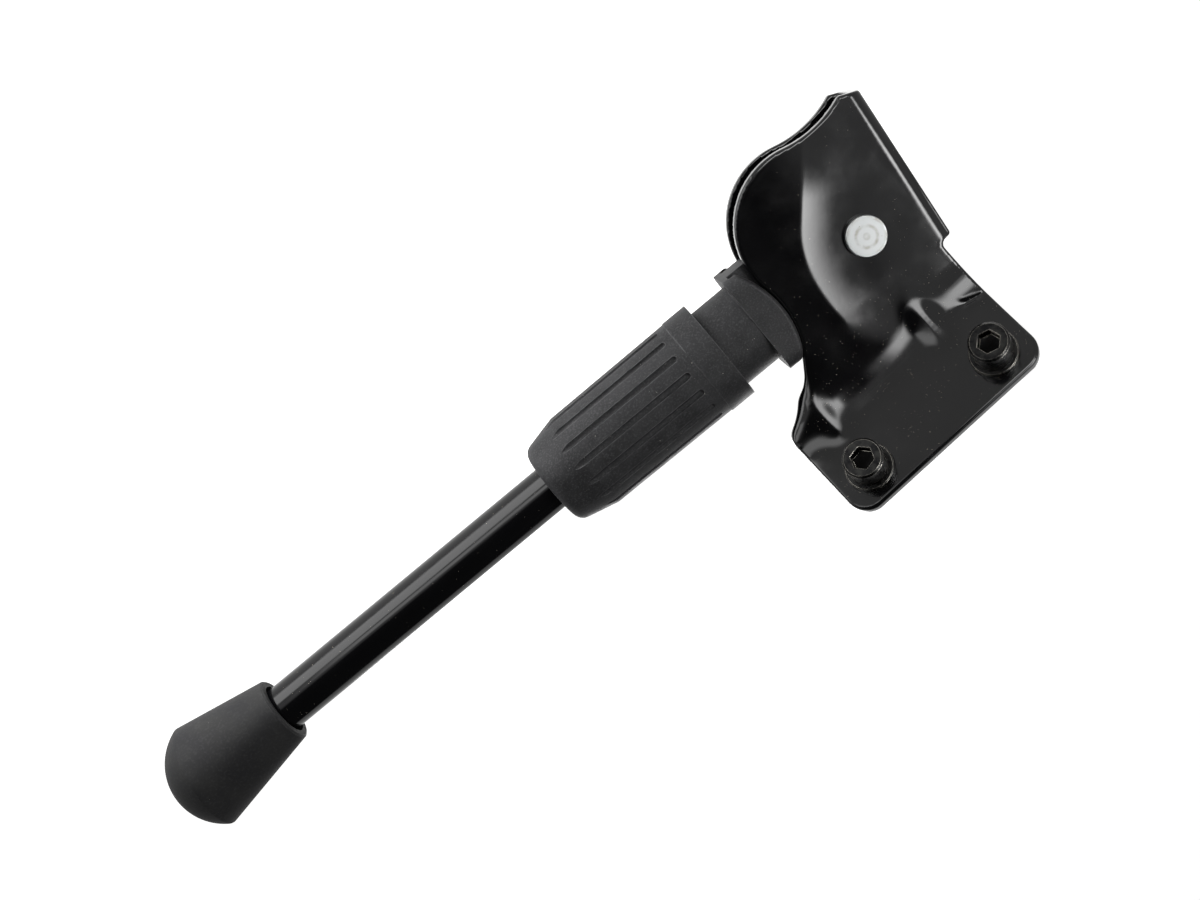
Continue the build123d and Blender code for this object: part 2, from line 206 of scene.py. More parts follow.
alongLeg, acrossLeg = (0.77, 0.64, 0), (-0.64, 0.77, 0)    # as the leg lies in the picture

# soft boxes for plain light, and cards for glossy black to mirror: each stands so far from the object's
# middle, in metres along the picture's right, up and towards the camera, with its height along "long";
# a box that isn't mirrored has a reflector in its stead, with a softer border than a lamp can have
lightPlan = {
    "middle": (0.05, -0.02, -0.04),
    "boxes": {
        "left_softbox": {"at": (-0.18, 0.055, 0.35), "long": acrossLeg, "size": (0.26, 0.11),
                         "power": 0.16, "mirrored": False},
        "leg_strip": {"at": (-0.189, 0.041, 0.012), "facing": (-0.64, 0.77, 0.08), "long": alongLeg,
                      "size": (0.06, 0.26), "power": 1.1, "mirrored": False},
        "back_softbox": {"at": (0.12, -0.10, -0.42), "long": (0, 1, 0), "size": (0.30, 0.30), "power": 1.0},
        "right_strip": {"at": (0.30, -0.05, 0.34), "long": (0, 1, 0), "size": (0.17, 0.26),
                        "power": 0.95, "mirrored": False},
        "bend_strip": {"at": (0.072, 0.105, 0.35), "long": alongLeg, "size": (0.09, 0.12),
                       "power": 0.19, "mirrored": False},
    },
    "cards": {
        "left_reflector": {"at": (-0.18, 0.055, 0.35), "long": acrossLeg, "size": (0.27, 0.14),
                           "glow": 4.6, "border": 0.05},
        "right_reflector": {"at": (0.31, -0.05, 0.34), "long": (0, 1, 0), "size": (0.22, 0.32),
                            "glow": 23.0, "border": 0.09},
        "bend_reflector": {"at": (0.072, 0.105, 0.35), "long": alongLeg, "size": (0.16, 0.19),
                           "glow": 13.0, "border": 0.06},
        "leg_reflector": {"at": (-0.180, 0.030, 0.078), "facing": (-0.551, 0.667, 0.5), "long": alongLeg,
                          "size": (0.145, 0.30), "glow": 6.0},
        "leg_card": {"at": (0.036, -0.269, 0.15), "facing": (0, 0, 1), "long": acrossLeg,
                     "size": (0.415, 0.533)},
        "cheek_card": {"at": (0.205, -0.157, 0.149), "facing": (0, 0, 1), "long": acrossLeg,
                       "size": (0.055, 0.495)},
        "high_card": {"at": (0.24, -0.45, 0.0), "long": (0, 0, 1), "size": (0.60, 0.34)},
    },
    "cardGlow": 0.04,
    "cardBorder": 0.025,
}


# a frame beside the object that faces it, from a place in the plan
def facingFrame(plan, item):
    directions = (viewRight, viewUp, viewBack)
    offset = sum((axis * value for axis, value in zip(directions, item["at"])), Vector())
    height = sum((axis * value for axis, value in zip(directions, item["long"])), Vector())
    facing = item.get("facing", item["at"])
    back = sum((axis * value for axis, value in zip(directions, facing)), Vector()).normalized()
    side = height.cross(back).normalized()
    spot = Matrix((side, back.cross(side), back)).transposed().to_4x4()
    spot.translation = Vector(plan["middle"]) + offset
    return spot


def addLights(plan):
    for name, box in plan["boxes"].items():
        data = bpy.data.lights.new(name, "AREA")
        data.shape = "RECTANGLE"
        data.size, data.size_y = box["size"]
        data.energy = box["power"]
        light = bpy.data.objects.new(name, data)
        light.matrix_world = facingFrame(plan, box)
        light.visible_camera = False
        light.visible_glossy = box.get("mirrored", True)
        scene.collection.objects.link(light)


# cloth that thins to nothing along its border, so that its reflection has no hard line
def cardCloth(plan, card):
    def shader(tree):
        across = addNode(tree, "ShaderNodeSeparateXYZ", links={
            "Vector": addNode(tree, "ShaderNodeTexCoord").outputs["UV"]})
        # how far inside the nearest edge a point lies, in metres: each axis folds back at its middle, 0.5
        reaches = []
        for axis, length in zip("XY", card["size"]):
            inside = addNode(tree, "ShaderNodeMath", {"operation": "PINGPONG"}, {1: 0.5},
                             {0: across.outputs[axis]})
            reaches.append(addNode(tree, "ShaderNodeMath", {"operation": "MULTIPLY"}, {1: length},
                                   {0: inside.outputs["Value"]}).outputs["Value"])
        border = addNode(tree, "ShaderNodeMath", {"operation": "MINIMUM"}, links=dict(enumerate(reaches)))
        width = card.get("border", plan["cardBorder"])
        weave = addNode(tree, "ShaderNodeMapRange", {"interpolation_type": "SMOOTHSTEP"},
                        {"From Max": width}, {"Value": border.outputs["Value"]})
        cloth = addNode(tree, "ShaderNodeEmission", inputs={"Strength": card.get("glow", plan["cardGlow"])})
        gap = addNode(tree, "ShaderNodeBsdfTransparent")
        return addNode(tree, "ShaderNodeMixShader", links={
            0: weave.outputs["Result"], 1: gap.outputs[0], 2: cloth.outputs[0]}).outputs[0]
    return shader


# only mirror-like reflections see the cards, so they neither light nor shade the object otherwise
def addCards(plan):
    for name, item in plan["cards"].items():
        spot = facingFrame(plan, item)
        width, height = item["size"]
        corners = [spot @ Vector((across * width / 2, up * height / 2, 0))
                   for across, up in ((-1, -1), (1, -1), (1, 1), (-1, 1))]
        card = addSheet(name, corners, "studio_cloth", cardCloth(plan, item))
        card.visible_camera = False
        card.visible_diffuse = False
        card.visible_transmission = False
        card.visible_volume_scatter = False
        card.visible_shadow = False


addLights(lightPlan)
addCards(lightPlan)
print("studio lit")


# a patch fades in between the two noise values of its span
patchPlan = {
    "span": (0.35, 0.65),
    "detail": 3.0,
    "roughness": 0.55,
}


# 0 to 1 in soft patches of about this size in millimetres
def patches(tree, place, size, span=patchPlan["span"]):
    low, high = span
    noise = addNode(tree, "ShaderNodeTexNoise", inputs={
        "Scale": 1 / size, "Detail": patchPlan["detail"], "Roughness": patchPlan["roughness"],
    }, links={"Vector": place})
    return addNode(tree, "ShaderNodeMapRange", inputs={"From Min": low, "From Max": high},
                   links={"Value": noise.outputs["Fac"]}).outputs["Result"]


# 1 on specks of dust: at most one in each cell, each of its own size, and only in a share of the cells
def dustSpecks(tree, place, plan, thick=None):
    cells = addNode(tree, "ShaderNodeTexVoronoi", {"feature": "F1"}, {"Scale": 1 / plan["cell"]},
                    {"Vector": place})
    chance = addNode(tree, "ShaderNodeSeparateColor", links={"Color": cells.outputs["Color"]})
    reach = addNode(tree, "ShaderNodeMapRange", inputs={
        "To Min": plan["small"] / plan["cell"], "To Max": plan["large"] / plan["cell"],
    }, links={"Value": chance.outputs["Red"]})
    near = addNode(tree, "ShaderNodeMath", {"operation": "LESS_THAN"}, links={
        0: cells.outputs["Distance"], 1: reach.outputs["Result"]})
    share = addNode(tree, "ShaderNodeMath", {"operation": "MULTIPLY"}, {0: plan["share"], 1: 1.0},
                    {1: thick} if thick else None)
    kept = addNode(tree, "ShaderNodeMath", {"operation": "LESS_THAN"}, links={
        0: chance.outputs["Green"], 1: share.outputs["Value"]})
    return addNode(tree, "ShaderNodeMath", {"operation": "MULTIPLY"}, links={
        0: near.outputs["Value"], 1: kept.outputs["Value"]}).outputs["Value"]


# cosines between the rounded and the plain normal, where rubbing starts and where it is complete
rubbingPlan = {
    "samples": 6,
    "cosines": (0.985, 0.90),
    "wornSpan": (0.3, 0.6),
}


# 1 along sharp edges, where handling rubs a finish: the rounded normal leaves the plain one there
def rubbedEdges(tree, radius, place, patchSize):
    untouched, bare = rubbingPlan["cosines"]
    rounded = addNode(tree, "ShaderNodeBevel", {"samples": rubbingPlan["samples"]}, {"Radius": radius * mm})
    plain = addNode(tree, "ShaderNodeNewGeometry").outputs["Normal"]
    along = addNode(tree, "ShaderNodeVectorMath", {"operation": "DOT_PRODUCT"}, links={
        0: rounded.outputs["Normal"], 1: plain})
    turned = addNode(tree, "ShaderNodeMapRange", inputs={"From Min": untouched, "From Max": bare},
                     links={"Value": along.outputs["Value"]})
    worn = patches(tree, place, patchSize, rubbingPlan["wornSpan"])
    return addNode(tree, "ShaderNodeMath", {"operation": "MULTIPLY"}, links={
        0: turned.outputs["Result"], 1: worn}).outputs["Value"]


# stoved black enamel on pressed steel: wet gloss that ripples a little, with pale dust lying on it
enamelPlan = {
    "colour": "#060607",
    "ior": 1.36,
    "gloss": (0.06, 0.15),
    "smearSize": 9.0,
    "peelSize": 1.8,     # orange peel of sprayed enamel
    "peelDepth": 0.0035,
    "peelDetail": 1.0,
    "dustColour": "#b4ab9c",
    "dustGloss": 0.7,
    "dustPatch": 7.0,
    "dustSpan": (0.3, 0.62),
    # radii: real dust is about 0.05 mm wide, and the largest specks are twice as wide so that they show
    "dust": {"cell": 0.55, "small": 0.012, "large": 0.055, "share": 0.9},
}
# how much of the dust lies at two heights in millimetres, the second of them the more dusty
bracketDust = {"from": -42.0, "to": -20.0, "least": 0.15, "most": 1.0}
barDust = {"from": -6.0, "to": 6.0, "least": 0.05, "most": 0.35}


def enamel(name, plan, localFrame, lie):
    material, tree, shader, place = startMaterial(name, {"IOR": plan["ior"]}, localFrame)
    height = addNode(tree, "ShaderNodeSeparateXYZ", links={"Vector": place})
    rise = addNode(tree, "ShaderNodeMapRange", inputs={
        "From Min": lie["from"], "From Max": lie["to"], "To Min": lie["least"], "To Max": lie["most"],
    }, links={"Value": height.outputs["Z"]})
    thick = addNode(tree, "ShaderNodeMath", {"operation": "MULTIPLY"}, links={
        0: rise.outputs["Result"], 1: patches(tree, place, plan["dustPatch"], plan["dustSpan"])})
    dust = dustSpecks(tree, place, plan["dust"], thick.outputs["Value"])
    colour = addNode(tree, "ShaderNodeMix", {"data_type": "RGBA"}, {
        6: toLinear(plan["colour"]), 7: toLinear(plan["dustColour"])}, {0: dust})
    smooth, dull = plan["gloss"]
    gloss = addNode(tree, "ShaderNodeMapRange", inputs={"To Min": smooth, "To Max": dull},
                    links={"Value": patches(tree, place, plan["smearSize"])})
    rough = addNode(tree, "ShaderNodeMix", {"data_type": "FLOAT"}, {3: plan["dustGloss"]}, {
        0: dust, 2: gloss.outputs["Result"]})
    peel = addNode(tree, "ShaderNodeTexNoise", inputs={
        "Scale": 1 / plan["peelSize"], "Detail": plan["peelDetail"]}, links={"Vector": place})
    ripple = addNode(tree, "ShaderNodeBump", inputs={"Distance": plan["peelDepth"] * mm, "Strength": 1.0},
                     links={"Height": peel.outputs["Fac"]})
    tree.links.new(colour.outputs[2], shader.inputs["Base Color"])
    tree.links.new(rough.outputs[0], shader.inputs["Roughness"])
    tree.links.new(ripple.outputs["Normal"], shader.inputs["Normal"])
    return material


# bright zinc plate on a headed rivet: pale metal, stained in rings by the forming tool
zincPlan = {
    "colour": "#797b7b",
    "stain": "#64625d",
    "gloss": (0.34, 0.46),
    "stainSize": 2.6,
    "stainSpan": (0.42, 0.7),
    "ringSpacing": 2.1,
    "ringSpan": (-0.2, 1.0),
    "grainSize": 0.5,
    "grainDepth": 0.006,
    "grainDetail": 2.0,
    "speckColour": "#4c463c",
    "specks": {"cell": 1.1, "small": 0.03, "large": 0.12, "share": 0.35},
}


def zinc(name, plan, localFrame):
    material, tree, shader, place = startMaterial(name, {"Metallic": 1.0}, localFrame)
    flat = addNode(tree, "ShaderNodeVectorMath", {"operation": "MULTIPLY"}, {1: (1, 1, 0)}, {0: place})
    radius = addNode(tree, "ShaderNodeVectorMath", {"operation": "LENGTH"}, links={
        0: flat.outputs["Vector"]})
    turns = addNode(tree, "ShaderNodeMath", {"operation": "MULTIPLY"},
                    {1: 2 * math.pi / plan["ringSpacing"]}, {0: radius.outputs["Value"]})
    wave = addNode(tree, "ShaderNodeMath", {"operation": "SINE"}, links={0: turns.outputs["Value"]})
    ringLow, ringHigh = plan["ringSpan"]
    rings = addNode(tree, "ShaderNodeMapRange", inputs={"From Min": ringLow, "From Max": ringHigh},
                    links={"Value": wave.outputs["Value"]})
    blotch = patches(tree, place, plan["stainSize"], plan["stainSpan"])
    stains = addNode(tree, "ShaderNodeMath", {"operation": "MULTIPLY"}, links={
        0: rings.outputs["Result"], 1: blotch})
    stained = addNode(tree, "ShaderNodeMix", {"data_type": "RGBA"}, {
        6: toLinear(plan["colour"]), 7: toLinear(plan["stain"])}, {0: stains.outputs["Value"]})
    specked = addNode(tree, "ShaderNodeMix", {"data_type": "RGBA"}, {7: toLinear(plan["speckColour"])}, {
        0: dustSpecks(tree, place, plan["specks"]), 6: stained.outputs[2]})
    smooth, dull = plan["gloss"]
    gloss = addNode(tree, "ShaderNodeMapRange", inputs={"To Min": smooth, "To Max": dull},
                    links={"Value": blotch})
    grain = addNode(tree, "ShaderNodeTexNoise", inputs={
        "Scale": 1 / plan["grainSize"], "Detail": plan["grainDetail"]}, links={"Vector": place})
    dents = addNode(tree, "ShaderNodeBump", inputs={"Distance": plan["grainDepth"] * mm, "Strength": 1.0},
                    links={"Height": grain.outputs["Fac"]})
    tree.links.new(specked.outputs[2], shader.inputs["Base Color"])
    tree.links.new(gloss.outputs["Result"], shader.inputs["Roughness"])
    tree.links.new(dents.outputs["Normal"], shader.inputs["Normal"])
    return material


# black oxide on machined steel: dark, half gloss, rubbed back to bright steel along the rims, with painted
# shade in the sockets
oxidePlan = {
    "colour": "#181819",
    "cloud": "#252524",
    "bare": "#b5b1a8",
    # painted shade: the near black that the sockets are painted with
    "paintedSocketShade": "#070707",
    "boltAcross": 20.0,
    "socketReach": 3.0,
    "socketTop": -12.0,
    "gloss": (0.22, 0.40),
    "cloudSize": 2.2,
    "rimWidth": 0.20,
    "rimPatch": 3.0,
    "grainSize": 0.35,
    "grainDepth": 0.0012,
    "grainDetail": 2.0,
}


def oxide(name, plan):
    material, tree, shader, place = startMaterial(name, {"Metallic": 1.0})
    cloud = patches(tree, place, plan["cloudSize"])
    rims = rubbedEdges(tree, plan["rimWidth"], place, plan["rimPatch"])
    blackened = addNode(tree, "ShaderNodeMix", {"data_type": "RGBA"}, {
        6: toLinear(plan["colour"]), 7: toLinear(plan["cloud"])}, {0: cloud})
    # painted shade: inside a radius round each bolt's axis and deeper than the socket's top, the sockets
    # are painted near black to stand in for the shade in their recesses
    apart = addNode(tree, "ShaderNodeSeparateXYZ", links={"Vector": place})
    mirrored = addNode(tree, "ShaderNodeMath", {"operation": "ABSOLUTE"}, links={0: apart.outputs["X"]})
    aside = addNode(tree, "ShaderNodeMath", {"operation": "SUBTRACT"}, {1: plan["boltAcross"]},
                    {0: mirrored.outputs["Value"]})
    flat = addNode(tree, "ShaderNodeCombineXYZ", links={
        "X": aside.outputs["Value"], "Z": apart.outputs["Z"]})
    reach = addNode(tree, "ShaderNodeVectorMath", {"operation": "LENGTH"}, links={
        0: flat.outputs["Vector"]})
    within = addNode(tree, "ShaderNodeMath", {"operation": "LESS_THAN"}, {1: plan["socketReach"]},
                     {0: reach.outputs["Value"]})
    deep = addNode(tree, "ShaderNodeMath", {"operation": "GREATER_THAN"}, {1: plan["socketTop"]},
                   {0: apart.outputs["Y"]})
    socket = addNode(tree, "ShaderNodeMath", {"operation": "MULTIPLY"}, links={
        0: within.outputs["Value"], 1: deep.outputs["Value"]})
    socketShaded = addNode(tree, "ShaderNodeMix", {"data_type": "RGBA"}, {7: toLinear(plan["paintedSocketShade"])}, {
        0: socket.outputs["Value"], 6: blackened.outputs[2]})
    worn = addNode(tree, "ShaderNodeMix", {"data_type": "RGBA"}, {7: toLinear(plan["bare"])}, {
        0: rims, 6: socketShaded.outputs[2]})
    smooth, dull = plan["gloss"]
    gloss = addNode(tree, "ShaderNodeMapRange", inputs={"To Min": smooth, "To Max": dull},
                    links={"Value": cloud})
    grain = addNode(tree, "ShaderNodeTexNoise", inputs={
        "Scale": 1 / plan["grainSize"], "Detail": plan["grainDetail"]}, links={"Vector": place})
    etched = addNode(tree, "ShaderNodeBump", inputs={"Distance": plan["grainDepth"] * mm, "Strength": 1.0},
                     links={"Height": grain.outputs["Fac"]})
    tree.links.new(worn.outputs[2], shader.inputs["Base Color"])
    tree.links.new(gloss.outputs["Result"], shader.inputs["Roughness"])
    tree.links.new(etched.outputs["Normal"], shader.inputs["Normal"])
    return material


# black nylon from a sparked mould: matte and finely grained, greyer where hands rub it
nylonPlan = {
    "colour": "#1d1d1e",
    "cloud": "#252526",
    "rubbed": "#484849",
    "specular": 0.10,
    "gloss": (0.48, 0.58),
    "cloudSize": 5.0,
    "topSpan": (0.5, 0.72),
    "topShare": 0.35,
    "edgeWidth": 0.45,
    "edgePatch": 4.0,
    "grainSize": 0.42,    # spark grain is about 0.1 mm, drawn coarser so that it shows
    "grainDepth": 0.022,
    "grainDetail": 2.0,
    "dustColour": "#b0aca4",
    "dust": {"cell": 1.1, "small": 0.02, "large": 0.09, "share": 0.14},
}
# black rubber, moulded: the dullest surface, with a bloom that greys it in places
rubberPlan = {
    "colour": "#1f1f20",
    "cloud": "#252525",
    "rubbed": "#424242",
    "specular": 0.05,
    "gloss": (0.58, 0.70),
    "cloudSize": 8.0,
    "topSpan": (0.5, 0.72),
    "topShare": 0.15,
    "edgeWidth": 0.5,
    "edgePatch": 6.0,
    "grainSize": 0.6,     # the mould's grain is finer too, and drawn coarser so that it shows
    "grainDepth": 0.008,
    "grainDetail": 2.0,
    "dustColour": "#b4b0a6",
    "dust": {"cell": 2.6, "small": 0.03, "large": 0.12, "share": 0.10},
}


def mouldedMatte(name, plan):
    material, tree, shader, place = startMaterial(name, {"Specular IOR Level": plan["specular"]}, legFrame)
    cloud = patches(tree, place, plan["cloudSize"])
    grain = addNode(tree, "ShaderNodeTexNoise", inputs={
        "Scale": 1 / plan["grainSize"], "Detail": plan["grainDetail"]}, links={"Vector": place})
    body = addNode(tree, "ShaderNodeMix", {"data_type": "RGBA"}, {
        6: toLinear(plan["colour"]), 7: toLinear(plan["cloud"])}, {0: cloud})
    # the grain's tops catch dirt and look paler than its pits
    topLow, topHigh = plan["topSpan"]
    tops = addNode(tree, "ShaderNodeMapRange", inputs={
        "From Min": topLow, "From Max": topHigh, "To Max": plan["topShare"],
    }, links={"Value": grain.outputs["Fac"]})
    grained = addNode(tree, "ShaderNodeMix", {"data_type": "RGBA"}, {7: toLinear(plan["rubbed"])}, {
        0: tops.outputs["Result"], 6: body.outputs[2]})
    rubbed = addNode(tree, "ShaderNodeMix", {"data_type": "RGBA"}, {7: toLinear(plan["rubbed"])}, {
        0: rubbedEdges(tree, plan["edgeWidth"], place, plan["edgePatch"]), 6: grained.outputs[2]})
    dusted = addNode(tree, "ShaderNodeMix", {"data_type": "RGBA"}, {7: toLinear(plan["dustColour"])}, {
        0: dustSpecks(tree, place, plan["dust"]), 6: rubbed.outputs[2]})
    smooth, dull = plan["gloss"]
    gloss = addNode(tree, "ShaderNodeMapRange", inputs={"To Min": smooth, "To Max": dull},
                    links={"Value": cloud})
    sparked = addNode(tree, "ShaderNodeBump", inputs={"Distance": plan["grainDepth"] * mm, "Strength": 1.0},
                      links={"Height": grain.outputs["Fac"]})
    tree.links.new(dusted.outputs[2], shader.inputs["Base Color"])
    tree.links.new(gloss.outputs["Result"], shader.inputs["Roughness"])
    tree.links.new(sparked.outputs["Normal"], shader.inputs["Normal"])
    return material


# drawn spring wire: bright grey with a thin film of oil
wirePlan = {
    "colour": "#8c8c8e",
    "oil": "#5f5b54",
    "gloss": (0.25, 0.42),
    "filmSize": 3.0,
}


def wire(name, plan):
    material, tree, shader, place = startMaterial(name, {"Metallic": 1.0}, legFrame)
    film = patches(tree, place, plan["filmSize"])
    oiled = addNode(tree, "ShaderNodeMix", {"data_type": "RGBA"}, {
        6: toLinear(plan["colour"]), 7: toLinear(plan["oil"])}, {0: film})
    smooth, dull = plan["gloss"]
    gloss = addNode(tree, "ShaderNodeMapRange", inputs={"To Min": smooth, "To Max": dull},
                    links={"Value": film})
    tree.links.new(oiled.outputs[2], shader.inputs["Base Color"])
    tree.links.new(gloss.outputs["Result"], shader.inputs["Roughness"])
    return material


blackOxide = oxide("black_oxide_on_steel", oxidePlan)
springWire = wire("drawn_spring_wire", wirePlan)
nylon = mouldedMatte("sparked_nylon", nylonPlan)
finishes = {
    "bracket": enamel("stoved_enamel_on_pressed_steel", enamelPlan, None, bracketDust),
    "leg_bar": enamel("stoved_enamel_on_bar", enamelPlan, legFrame, barDust),
    "pivot_rivet": zinc("bright_zinc_plate", zincPlan, cheekFrame),
    "mounting_bolts": blackOxide,
    "spring_washers": blackOxide,
    "flat_washers": blackOxide,
    "cam_collar": nylon,
    "fluted_sleeve": nylon,
    "rubber_foot": mouldedMatte("moulded_rubber", rubberPlan),
    "compression_spring": springWire,
    "spring_seat": springWire,
}
for nodeName, material in finishes.items():
    mesh = cadNodes[nodeName].data
    mesh.materials.clear()
    mesh.materials.append(material)
print("finishes on", len(finishes), "nodes")


# skins a row of rings and closes both ends with a fan round a pole
def loft(rings, firstPole, lastPole):
    count = len(rings[0])
    points = [firstPole] + [point for ring in rings for point in ring] + [lastPole]
    lastRing = 1 + (len(rings) - 1) * count
    faces = []
    for k in range(count):
        following = (k + 1) % count
        faces.append((0, 1 + following, 1 + k))
        faces.append((lastRing + k, lastRing + following, len(points) - 1))
        for low in range(1, lastRing, count):
            faces.append((low + k, low + following, low + count + following, low + count + k))
    return points, faces


creaseAngle = 32.0    # degrees, from which an edge stays sharp


# one object from lofted shells, given in metres in the part's frame, that stands for a CAD node
def addPiece(name, shells, material, body, node):
    build = bmesh.new()
    for points, faces in shells:
        verts = [build.verts.new(point) for point in points]
        for face in faces:
            build.faces.new([verts[i] for i in face])
    bmesh.ops.recalc_face_normals(build, faces=build.faces)
    mesh = bpy.data.meshes.new(name)
    build.to_mesh(mesh)
    build.free()
    mesh.shade_smooth()
    mesh.set_sharp_from_angle(angle=math.radians(creaseAngle))
    mesh.materials.append(material)
    piece = bpy.data.objects.new(name, mesh)
    scene.collection.objects.link(piece)
    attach(piece, body)
    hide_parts(node)
    return piece


# the bracket as the press leaves it: the CAD solid skinned in small quads, with a shallow step beside the
# rivet in place of the CAD's plain hollow, and with a soft bend and ribs; the step and the hollow are in
# millimetres in the cheek's frame, which "turn" lines up with the step, and the ribs in the part's frame
pressingPlan = {
    "weld": 0.01,
    "grid": 0.44,
    "skin": 7.5,
    "skinFade": (2.5, 0.5),
    "turn": 137.0,
    "stepDepth": 1.05,
    "stepWidth": 13.5,
    "stepAcross": -15.8,
    "stepBend": (2.0, 0.0225),
    "stepFades": (-29.0, -16.0, 6.0, 42.0),
    "stepSpreads": (8.0, 22.0, 1.2),
    "crownFrom": -9.0,
    "crownTo": -14.6,
    "crownDrop": 0.09,
    "hollowTurn": -14.0,
    "hollowHalves": (14.6, 19.6),
    "hollowReach": 1.3,
    "softPlaces": (-14.5, -6.0, 3.0, 11.5, 20.0),
    "ribMiddle": (-2.7, -17.6),
    "ribSlope": (0.3157, 0.9489),
    "ribHalf": 5.8,
    "ribReach": (5.0, 9.5),
    "ribRounds": 140,
    "ribShare": 0.5,
    "evenShares": (0.5, -0.53),    # the second undoes the shrinking of the first
    "evenRounds": 4,
    "lastRounds": 2,
}


def softStep(low, high, values):
    share = np.clip((values - low) / (high - low), 0, 1)
    return share * share * (3 - 2 * share)


# how deep the step lies at a place on the cheek: steepest at its edge, level after its width, and
# fading out towards both of its ends
def stepDepth(plan, x, y):
    turn = math.radians(plan["turn"])
    across = x * math.cos(turn) + y * math.sin(turn)
    along = y * math.cos(turn) - x * math.sin(turn)
    bendFrom, curve = plan["stepBend"]
    below = np.maximum(bendFrom - along, 0)
    inside = (across - plan["stepAcross"] - curve * below ** 2) / np.sqrt(1 + (2 * curve * below) ** 2)
    spreadFrom, spreadTo, spread = plan["stepSpreads"]
    width = plan["stepWidth"] * (1 + spread * softStep(spreadFrom, spreadTo, along))
    share = np.clip(inside / width, 0, 1)
    low0, low1, high0, high1 = plan["stepFades"]
    fade = softStep(low0, low1, along) * (1 - softStep(high0, high1, along))
    return plan["stepDepth"] * (1 - (1 - share) ** 2) * fade


# moves points towards their neighbours' middle, by a share for each round
def evened(points, edges, weight, shares):
    count = len(points)
    degree = np.bincount(edges.ravel(), minlength=count)[:, None]
    for share in shares:
        total = np.stack([np.bincount(edges[:, 0], points[edges[:, 1], k], count)
                          + np.bincount(edges[:, 1], points[edges[:, 0], k], count)
                          for k in range(3)], axis=1)
        points = points + (total / degree - points) * weight[:, None] * share
    return points


def pressBracket(plan, material):
    build = bmesh.new()
    build.from_mesh(cadNodes["bracket"].data)
    bmesh.ops.remove_doubles(build, verts=build.verts, dist=plan["weld"] * mm)
    mesh = bpy.data.meshes.new("pressed_bracket")
    build.to_mesh(mesh)
    build.free()
    piece = bpy.data.objects.new("pressed_bracket", mesh)
    scene.collection.objects.link(piece)
    skin = piece.modifiers.new("small_quads", "REMESH")
    skin.mode = "VOXEL"
    skin.voxel_size = plan["grid"] * mm
    wrap = piece.modifiers.new("back_on_the_solid", "SHRINKWRAP")
    wrap.wrap_method = "NEAREST_SURFACEPOINT"
    wrap.target = cadNodes["bracket"]
    fine = bpy.data.meshes.new_from_object(piece.evaluated_get(bpy.context.evaluated_depsgraph_get()))
    piece.modifiers.clear()
    piece.data = fine

    count = len(fine.vertices)
    points = np.empty(count * 3)
    fine.vertices.foreach_get("co", points)
    points = points.reshape(-1, 3) / mm
    edges = np.empty(len(fine.edges) * 2, dtype=np.int32)
    fine.edges.foreach_get("vertices", edges)
    edges = edges.reshape(-1, 2)

    points = evened(points, edges, np.ones(count), plan["evenShares"] * plan["evenRounds"])

    toCheek = np.array(cheekFrame.inverted())[:3, :3]
    middle = np.array(pivot) / mm
    local = (points - middle) @ toCheek.T
    x, y, z = local.T
    hollow = math.radians(plan["hollowTurn"])
    wide = x * math.cos(hollow) + y * math.sin(hollow)
    tall = y * math.cos(hollow) - x * math.sin(hollow)
    inHollow = (wide / plan["hollowHalves"][0]) ** 2 + (tall / plan["hollowHalves"][1]) ** 2 < 1
    outer = z > plan["skin"] - plan["hollowReach"]
    base = np.where(outer & inHollow, plan["skin"], z)
    towardsSpine = np.clip((plan["crownFrom"] - x) / (plan["crownFrom"] - plan["crownTo"]), 0, 1)
    drop = stepDepth(plan, x, y) + towardsSpine ** 2 * plan["crownDrop"]
    under, near = plan["skinFade"]
    local[:, 2] = base - drop * softStep(plan["skin"] - under, plan["skin"] - near, base)
    points = local @ toCheek + middle

    nearest = np.full(count, np.inf)
    for place in plan["softPlaces"]:
        offset = points - np.array((place, *plan["ribMiddle"]))
        slope = np.array((0, *plan["ribSlope"]))
        along = np.clip(offset @ slope, -plan["ribHalf"], plan["ribHalf"])
        nearest = np.minimum(nearest, np.linalg.norm(offset - along[:, None] * slope, axis=1))
    byRibs = 1 - softStep(*plan["ribReach"], nearest)
    points = evened(points, edges, byRibs, [plan["ribShare"]] * plan["ribRounds"])
    points = evened(points, edges, np.ones(count), plan["evenShares"] * plan["lastRounds"])

    fine.vertices.foreach_set("co", (points * mm).ravel())
    fine.shade_smooth()
    fine.materials.clear()
    fine.materials.append(material)
    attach(piece, "base")
    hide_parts("bracket")
    triangles = sum(len(face.vertices) - 2 for face in fine.polygons)
    print("bracket pressed:", count, "points,", triangles, "triangles")


pressBracket(pressingPlan, finishes["bracket"])

# the two socket-head bolts, in millimetres along the bolt's axis, with the thread that the CAD leaves plain
boltPlan = {
    "places": (-20.0, 20.0),
    "turns": (17.0, 50.0),
    "around": 48,
    "headTop": -12.2,
    "headSeat": -6.2,
    "headRadius": 5.0,
    "headEdge": 0.5,
    "seatEdge": 0.2,
    "socketSides": 6,
    "socketHalf": 2.5,
    "socketRelief": 0.08,
    "socketDepth": 3.0,
    "socketPoint": 1.2,
    "socketEdge": 0.14,
    "shankRadius": 2.7,
    "threadFrom": 0.0,
    "threadLead": 0.05,
    "tip": 9.8,
    "tipEdge": 0.8,
    "crest": 3.0,
    "root": 2.42,
    "pitch": 1.0,
    "flankSlope": 2.6,
    "rootFlat": 0.2,
    "rowsPerTurn": 10,
}


